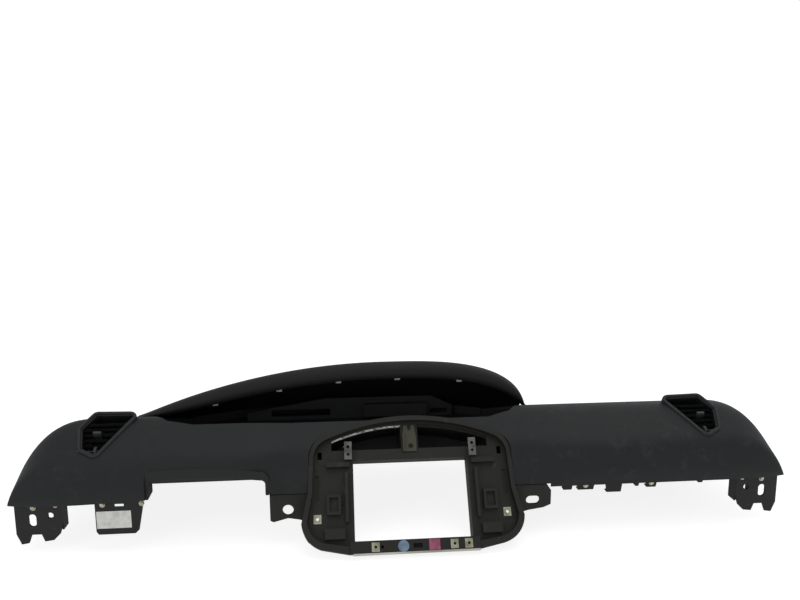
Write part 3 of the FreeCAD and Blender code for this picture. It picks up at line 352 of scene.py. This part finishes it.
def cut_out(piece, tools):
    """Take the tools' shapes out of a piece and drop them."""
    for tool in tools:
        step = piece.modifiers.new("opening", "BOOLEAN")
        step.operation, step.solver, step.object = "DIFFERENCE", "EXACT", tool
        settled(piece)
        bpy.data.objects.remove(tool)


frame_origin = np.array((0, -0.075, -bar_drop))
frame_edge = rounded([(-118, 3.4), (118, 3.4), (168, 13.4, 52), (204.6, 60), (192.6, 112),
                      (190.6, 178, 46), (166.6, 217.6, 411.6), (-166.6, 217.6, 46),
                      (-190.6, 178), (-192.6, 112), (-204.6, 60, 52), (-168, 13.4)])
column_edge = rounded([(-483, -40), (-264, -40), (-264, 26, 14), (-278, 40, 900),
                       (-471, 50, 12), (-483, 38)])
recess_left, recess_right, recess_front = -0.496, 0.237, 0.072
arc = np.pi * np.arange(1, 32) / 32
recess_middle = (recess_left + recess_right) / 2
recess_half = (recess_right - recess_left) / 2 - 0.016
recess_edge = np.concatenate([
    [(recess_left + 0.014, 0.108), (recess_left + 0.040, recess_front + 0.012),
     (recess_left + 0.090, recess_front), (recess_right - 0.080, recess_front),
     (recess_right - 0.036, recess_front + 0.012), (recess_right - 0.018, 0.108)],
    np.stack([recess_middle + recess_half * np.cos(arc), 0.112 + 0.142 * np.sin(arc)], -1)])
vent_tilt, vent_datum = math.radians(32), np.array((0.565, 0.024, 0.082))
vent_corners = np.array([(8, -6), (33, 8), (42, 52), (22, 84), (-46, 82)]) / 1000


def vent_ring(distance, radius, steps=8):
    """The vent's leaf-shaped outline grown by a distance, with arcs of this radius for corners:
    the arcs turn about the corners of the same outline grown by distance less radius."""
    edges = np.roll(vent_corners, -1, axis=0) - vent_corners
    normals = np.stack([edges[:, 1], -edges[:, 0]], -1) / np.hypot(*edges.T)[:, None]
    levels = (normals * vent_corners).sum(1) + distance - radius
    outline = []
    for k in range(len(vent_corners)):
        centre = np.linalg.solve(normals[[k - 1, k]], levels[[k - 1, k]])
        start, end = (math.atan2(*normal[::-1]) for normal in normals[[k - 1, k]])
        turn = start + (end - start) % (2 * math.pi) * np.linspace(0, 1, steps)
        outline.append(centre + radius * np.stack([np.cos(turn), np.sin(turn)], -1))
    return np.concatenate(outline)


across = half_width * np.sin(np.linspace(-np.pi / 2, np.pi / 2, 331)) * 0.35 \
    + 0.65 * np.linspace(-half_width, half_width, 331)
along = np.concatenate([np.linspace(run[0], run[6], 58)[:-1], np.linspace(run[6], run[-1], 60)])
pad = surface("dash_skin", pad_points(across, along)[:, ::-1])
pad_shell = pad.modifiers.new("skin", "SOLIDIFY")
pad_shell.thickness, pad_shell.offset = skin, -1
settled(pad)
cutters = [prism("column", column_edge, -0.060, 0.040, tilt=math.pi / 2),
           prism("centre", frame_edge, -0.060, 0.060, frame_origin, frame_rake),
           prism("recess", recess_edge, 0.020, 0.260)]
for side in (-1, 1):
    cutters.append(prism("vent", vent_ring(0.0092, 0.0132) * (side, 1), -0.035, 0.025,
                         vent_datum * (side, 1, 1), vent_tilt))
for slot in range(-8, 9):
    middle, back = slot * 0.048, 0.3795 - 0.040 * (slot * 0.12) ** 2
    slot_corners = np.array([(-1, -1), (1, -1), (1, 1), (-1, 1)]) * (0.018, 0.0035)
    cutters.append(prism("demister", slot_corners + (middle, back), -0.060, 0.060))
cut_out(pad, cutters)

pad.data.set_sharp_from_angle(angle=math.radians(38))
pad_skin, shader, place = new_material("pad_skin", Specular_IOR_Level=0.25)
leather = place.cells(720) * 0.6 + place.cells(1500) * 0.25 + place.noise(2600, 2) * 0.15
worn = place.noise(5, 5, 0.6)
dust = place.noise(38, 4, 0.65).between(0.5, 0.8) * place.noise(3, 2).between(0.35, 0.7)
feed(shader, leather, 0.0004, 0.5,
     Base_Color=dust.tint(worn.tint(srgb(27, 30, 31), srgb(35, 38, 39)), srgb(47, 49, 50)),
     Roughness=worn * 0.16 + 0.5)
pad.data.materials.clear()
pad.data.materials.append(pad_skin)
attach(pad, "dashboard")
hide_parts("dash_pad")


# Hood: a hard moulding with a coarse grain that shades the instruments. It falls away to a tip
# on the left, ends blunt on the right, and its front edge rolls down into a brow.
hood_left, hood_right, hood_rise, brow_band = -0.526, 0.242, 0.097, 0.031
peak = hood_left + 0.63 * (hood_right - hood_left)
share = np.linspace(1, 0, 90)[:-1]
fall = np.linspace(0, 1, 80)
reach = 1 - (1 - fall) ** 2
hood_x = np.concatenate([peak - (peak - hood_left) * share, peak + (hood_right - peak) * reach])
rise = hood_rise * np.concatenate([(1 - share ** 2) ** 1.02, np.sqrt(1 - reach ** 3)])
height = rise / hood_rise
band = brow_band * np.tanh(rise / 0.035)
front = 0.120 + 0.006 * (1 - height)
depth = 0.200 * np.sqrt(np.maximum(height, 0.05))
rear_y = front + 0.026 + depth
rear_z = pad_height(hood_x, rear_y) + 0.0036
roll = 0.35 + 0.65 * band / brow_band
ridge = 0.106 + rise
hood_knots = [(front + back * roll, ridge - drop * band) for back, drop in
              ((0.009, 1), (0.002, 0.78), (0, 0.45), (0.007, 0.12), (0.026, 0))]
for step in (0.2, 0.4, 0.6, 0.8, 1.0):
    bow = 0.35 * step + 0.65 * step * step * (3 - 2 * step)
    hood_knots.append((front + 0.026 + depth * step, ridge + (rear_z - ridge) * bow))
hood_knots = np.array(hood_knots)
middle = hood_knots[:, :, 80]
hood_run = np.concatenate([[0], np.cumsum(np.hypot(*np.diff(middle, axis=0).T))])
hood_weights = spline_weights(hood_run, np.concatenate([
    np.linspace(0, hood_run[4], 30)[:-1], np.linspace(hood_run[4], hood_run[-1], 50)]))
hood_yz = np.einsum("ak,kcx->xac", hood_weights, hood_knots)
hood_rows = np.concatenate([np.broadcast_to(hood_x[:, None, None], hood_yz.shape[:2] + (1,)),
                            hood_yz], -1) + lip
hood = surface("hood_shell", hood_rows[:, ::-1])
hood_wall = hood.modifiers.new("wall", "SOLIDIFY")
hood_wall.thickness, hood_wall.offset = 0.0032, -1

hood_skin, shader, place = new_material("hood_skin", Specular_IOR_Level=0.3)
grain = place.cells(950) * 0.7 + place.noise(1800, 3) * 0.3
faded = place.noise(9, 4, 0.6)
feed(shader, grain, 0.0006, 0.55,
     Base_Color=faded.tint(srgb(15, 15, 16), srgb(22, 22, 24)), Roughness=faded * 0.15 + 0.58)
hood.data.materials.append(hood_skin)
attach(hood, "dashboard")
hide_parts("instrument_hood")


# Column trim: a hard moulded arch clipped into the steering column's cut-out, a little behind the
# pad's skin, with a rounded front edge and a lining that runs back.
def rounded_edges(piece, width, segments):
    """Round the piece's sharp edges to a width and shade its flats flat."""
    edge = piece.modifiers.new("edges", "BEVEL")
    edge.width, edge.segments, edge.limit_method = width, segments, "ANGLE"
    edge.angle_limit = math.radians(35)
    piece.modifiers.new("normals", "WEIGHTED_NORMAL").keep_sharp = True
    piece.data.polygons.foreach_set("use_smooth", np.ones(len(piece.data.polygons), bool))


def moulded(name, low, high, rough=0.5, grain=0.00012, scuffs=0.5, scuff=(70, 70, 66)):
    """A moulded plastic finish between two shades, with a fine grain, dust and scuffs."""
    material, shader, place = new_material(name, Specular_IOR_Level=0.4)
    cloud = place.noise(14, 5, 0.62)
    rubbed = (place.noise(60, 6, 0.7, (1, 0.35, 1)).between(0.58, 0.72)
              * place.noise(11, 2).between(0.45, 0.7)) * scuffs
    texture = place.noise(1700, 2) * 0.7 + place.noise(420, 3) * 0.3
    feed(shader, texture, grain, 0.6,
         Base_Color=rubbed.tint(cloud.tint(srgb(*low), srgb(*high)), srgb(*scuff)),
         Roughness=cloud * 0.2 + (rubbed * -0.1 + rough))
    return material


def fitted(piece, finish, *replaced, width=0.0005, segments=2):
    """Round a moulding's edges, give it its finish and fix it to the dashboard."""
    rounded_edges(piece, width, segments)
    piece.data.materials.clear()
    piece.data.materials.append(finish)
    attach(piece, "dashboard")
    if replaced:
        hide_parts(*replaced)


black_moulding = moulded("black_moulding", (14, 14, 15), (21, 21, 21))
trim = prism("column_lining", rounded([(-485, -3), (-262, -3), (-262, 27, 15), (-277, 42, 900),
                                       (-471, 52, 14), (-485, 38)]), -0.034, 0.0042, tilt=math.pi / 2)
cut_out(trim, [prism("column", rounded([(-478, -30), (-269, -30), (-269, 18, 8), (-277, 26, 900),
                                        (-472, 31, 6), (-478, 25)]), -0.060, 0.040, tilt=math.pi / 2)])
fitted(trim, black_moulding, "column_trim", width=0.0016, segments=3)


# Instrument recess: the tray and the plate behind the instruments, both injection moulded. They
# keep their solids' shape, and the tray is merged and rounded at its edges.
def softened(finish, *names, width=0.0007):
    """Copies of CAD nodes with their moulded edges rounded to this width, in this finish."""
    for name in names:
        mesh = nodes[name].data.copy()
        shaped = bmesh.new()
        shaped.from_mesh(mesh)
        bmesh.ops.remove_doubles(shaped, verts=shaped.verts, dist=1e-6)
        bmesh.ops.dissolve_limit(shaped, angle_limit=math.radians(1), verts=shaped.verts,
                                 edges=shaped.edges)
        shaped.to_mesh(mesh)
        shaped.free()
        piece = bpy.data.objects.new(name + "_moulded", mesh)
        bpy.context.scene.collection.objects.link(piece)
        fitted(piece, finish, name, width=width)


def dress(finish, *names):
    """Give CAD nodes this finish."""
    for name in names:
        nodes[name].data.materials.clear()
        nodes[name].data.materials.append(finish)


softened(black_moulding, "instrument_tray")
dress(moulded("grey_moulding", (26, 27, 28), (36, 37, 38)), "instrument_back_plate")


# Hood clips: five small spring steel clips pushed on to the hood's rolled edge. They are joined
# into one piece, because they are alike and none of them moves.
def plated(name, low, high, rough, streak=(1, 1, 1)):
    """Bare or plated sheet steel between two shades, with rolling streaks and dull spots."""
    material, shader, place = new_material(name, Metallic=1.0)
    cloud = place.noise(55, 5, 0.65, streak)
    fine = place.noise(900, 2, 0.5, streak)
    feed(shader, fine, 0.00006, 0.4,
         Base_Color=cloud.between(0.3, 0.7).tint(srgb(*low), srgb(*high)),
         Roughness=cloud * 0.25 + rough)
    return material


clip_width, clip_height = 0.011, 0.0045
clip_face = np.array([(-1, -0.6), (1, -0.6), (1, 0.4), (-1, 0.4)]) * (clip_width / 2, clip_height)
clips = bmesh.new()
for clip_x in (-0.372, -0.248, -0.132, -0.016, 0.108):
    edge_y, edge_z = (np.interp(clip_x, hood_x, hood_knots[0, part]) for part in (0, 1))
    clip = prism("clip", clip_face, -0.009, 0.0012, (clip_x, edge_y, edge_z), math.pi / 2)
    clips.from_mesh(clip.data)
    bpy.data.objects.remove(clip)
clip_mesh = bpy.data.meshes.new("spring_clips")
clips.to_mesh(clip_mesh)
clips.free()
clip_set = bpy.data.objects.new("spring_clips", clip_mesh)
bpy.context.scene.collection.objects.link(clip_set)
# The clips' steel is set much darker than bare steel: painted shade for the shade they sit in, not the
# steel's own colour.
fitted(clip_set, plated("spring_steel", (104, 104, 101), (150, 150, 146), 0.38), "hood_clips")


# Centre frame: the moulding round the radio opening and the bar across its foot, with bright strip,
# U-nuts, steel brackets, an olive plastic switch bracket and two bare stickers.
def paper(name, low, high):
    """Paper or film stuck down: a faint fibre, a soft sheen and grubby patches."""
    material, shader, place = new_material(name, Specular_IOR_Level=0.4)
    cloud = place.noise(90, 4, 0.6)
    feed(shader, place.noise(1400, 2), 0.00003, 0.5, Roughness=cloud * 0.2 + 0.4,
         Base_Color=cloud.between(0.35, 0.75).tint(srgb(*high), srgb(*low)))
    return material


frame_moulding = moulded("frame_moulding", (18, 18, 14), (27, 27, 21))
pale_moulding = moulded("pale_moulding", (58, 57, 44), (74, 73, 58), scuffs=0.3, scuff=(96, 94, 80))
bracket_steel = plated("bracket_steel", (84, 84, 82), (118, 118, 114), 0.42)
zinc_steel = plated("zinc_steel", (150, 148, 128), (198, 196, 176), 0.3)
softened(frame_moulding, "centre_frame", "lower_cross_bar")
softened(bracket_steel, "left_radio_bracket", "right_radio_bracket", width=0.0005)
softened(pale_moulding, "switch_bracket")
dress(zinc_steel, "cross_bar_nuts", "frame_side_nuts", "bracket_screws")
dress(plated("bright_steel", (170, 168, 158), (214, 212, 204), 0.28, (0.2, 1, 1)), "cross_bar_strip")
dress(paper("blue_paper", (92, 112, 134), (124, 146, 168)), "round_sticker")
dress(paper("pink_paper", (132, 66, 92), (168, 92, 122)), "square_sticker")


# Behind the centre frame: the blow moulded duct and its seals, the duct's back wall, the backs of
# the towers' slots and the flange that the pad's edge lies on. They show only in the openings.
def block(x0, x1, y0, y1):
    """A rectangle's corners, in millimetres, as an outline in metres."""
    return np.array([(x0, y0), (x1, y0), (x1, y1), (x0, y1)]) / 1000


duct_moulding = moulded("duct_moulding", (36, 36, 36), (50, 50, 50), rough=0.45)
foam_seal = moulded("foam_seal", (24, 24, 24), (40, 40, 40), rough=0.85, grain=0.0008)
foil_seal, shader, place = new_material("foil_seal", Metallic=1.0)
# The foil's crumple is its relief, and its colour follows that same height, darker in the hollows and
# lighter on the ridges: painted shade in the crinkles.
crumple_and_painted_shade = place.cells(160) * 0.6 + place.noise(300, 4) * 0.4
feed(shader, crumple_and_painted_shade, 0.003, 0.9, Base_Color=crumple_and_painted_shade.tint(srgb(150, 150, 146), srgb(205, 205, 200)),
     Roughness=crumple_and_painted_shade * 0.3 + 0.2)
dress(duct_moulding, "centre_air_duct", "left_side_duct", "right_side_duct")
dress(foil_seal, "left_duct_seal")
dress(foam_seal, "right_duct_seal")

duct_back = prism("duct_back", rounded([(-150, 190), (150, 190), (150, 211, 397), (-150, 211)]),
                  -0.110, -0.107, frame_origin, frame_rake)
fitted(duct_back, duct_moulding)
for side, side_name in ((-1, "left"), (1, "right")):
    for name, (x0, x1, y0, y1), depth in (("slot", (169, 182, 98, 149), 0.0166),
                                          ("notch", (163, 177, 173, 193), 0.0462)):
        back = prism("%s_tower_%s_back" % (side_name, name),
                     block(*sorted((side * x0, side * x1)), y0, y1),
                     -depth - 0.0015, -depth, frame_origin, frame_rake)
        fitted(back, frame_moulding, width=0.0003)

flange_middle = (0, 0.11)
upper = frame_edge[frame_edge[:, 1] > 0.1] - flange_middle
flange = prism("frame_flange", upper * (1.06, 1.02) + flange_middle, -0.026, -0.023,
               frame_origin, frame_rake)
cut_out(flange, [prism("inside", (frame_edge - flange_middle) * 0.992 + flange_middle, -0.060, 0.010,
                       frame_origin, frame_rake)])
fitted(flange, frame_moulding)


# Under the lip: the brackets at both ends, the knee bracket with its slot and blank label, and the
# rail and dark band of the passenger's side. Flat mouldings, screwed to the pad's backing.
bracket_moulding = moulded("bracket_moulding", (17, 17, 17), (27, 27, 26), scuffs=0.8)
white_paper = paper("white_paper", (196, 196, 190), (226, 226, 222))
softened(black_moulding, "passenger_rail")
softened(bracket_moulding, "left_end_bracket", "right_end_bracket")
knee = prism("knee_plate", np.array([(-573, 16), (-573, -60), (-569, -66), (-504, -66), (-497, -59),
                                     (-487, -8), (-487, 16)]) / 1000, 0.0007, 0.0037, tilt=math.pi / 2)
cut_out(knee, [prism("slot", block(-538, -522, -13, -8), -0.010, 0.020, tilt=math.pi / 2)])
fitted(knee, black_moulding, "knee_bracket", width=0.0008)
label = prism("label_sheet", block(-571, -510, -54, -21), 0.0037, 0.0041, tilt=math.pi / 2)
fitted(label, white_paper, "blank_label", width=0.0001)
lip_band = prism("lip_band", block(262, 634, -7, 2), 0.0042, 0.0072, tilt=math.pi / 2)
fitted(lip_band, black_moulding)
dress(black_moulding, "airbag_chute")


# Vents: louvres, vanes, flap, knob and thumbwheel in their housing, in a smoother plastic, inside a
# soft-edged ring. The ring's section rises from the opening, rolls over and runs into the pad.
vent_moulding = moulded("vent_moulding", (20, 21, 23), (28, 29, 31), rough=0.38, scuffs=0.1)
bezel_moulding = moulded("bezel_moulding", (24, 26, 28), (32, 34, 36), rough=0.5, scuffs=0.15)
knob_moulding = moulded("knob_moulding", (48, 49, 51), (62, 63, 65), rough=0.3, scuffs=0.1)
ring_section = np.array([(2.5, -14), (2.5, 0.6), (3.1, 2.0), (4.4, 3.0), (6.0, 3.2), (7.6, 2.5), (8.7, 1.0),
                         (9.0, -1.0), (9.0, -14), (2.5, -14)]) / 1000
vent_turn = np.array([[1, 0, 0], [0, math.cos(vent_tilt), -math.sin(vent_tilt)],
                      [0, math.sin(vent_tilt), math.cos(vent_tilt)]])
for side, side_name in ((-1, "left"), (1, "right")):
    outlines = [vent_ring(out, out + 0.004) * (side, 1) for out, up in ring_section]
    rings = np.array([np.column_stack([outline, np.full(len(outline), up)])
                      for outline, (out, up) in zip(outlines, ring_section)])
    placed = rings @ vent_turn.T + vent_datum * (side, 1, 1) + lip
    ring = surface(side_name + "_vent_surround", placed, closed=True)
    joined = bmesh.new()
    joined.from_mesh(ring.data)
    bmesh.ops.remove_doubles(joined, verts=joined.verts, dist=1e-6)
    bmesh.ops.recalc_face_normals(joined, faces=joined.faces)
    joined.to_mesh(ring.data)
    joined.free()
    ring.data.polygons.foreach_set("use_smooth", np.ones(len(ring.data.polygons), bool))
    ring.data.set_sharp_from_angle(angle=math.radians(50))
    ring.data.materials.append(bezel_moulding)
    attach(ring, "dashboard")
    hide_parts(side_name + "_vent_bezel")
    dress(vent_moulding, side_name + "_vent_housing", side_name + "_vent_flap")
    dress(vent_moulding, *[side_name + "_vent_blade_%d" % k for k in range(1, 6)])
    dress(vent_moulding, *[side_name + "_vent_vane_%d" % k for k in range(1, 4)])
    dress(knob_moulding, side_name + "_vent_knob", side_name + "_vent_thumbwheel")
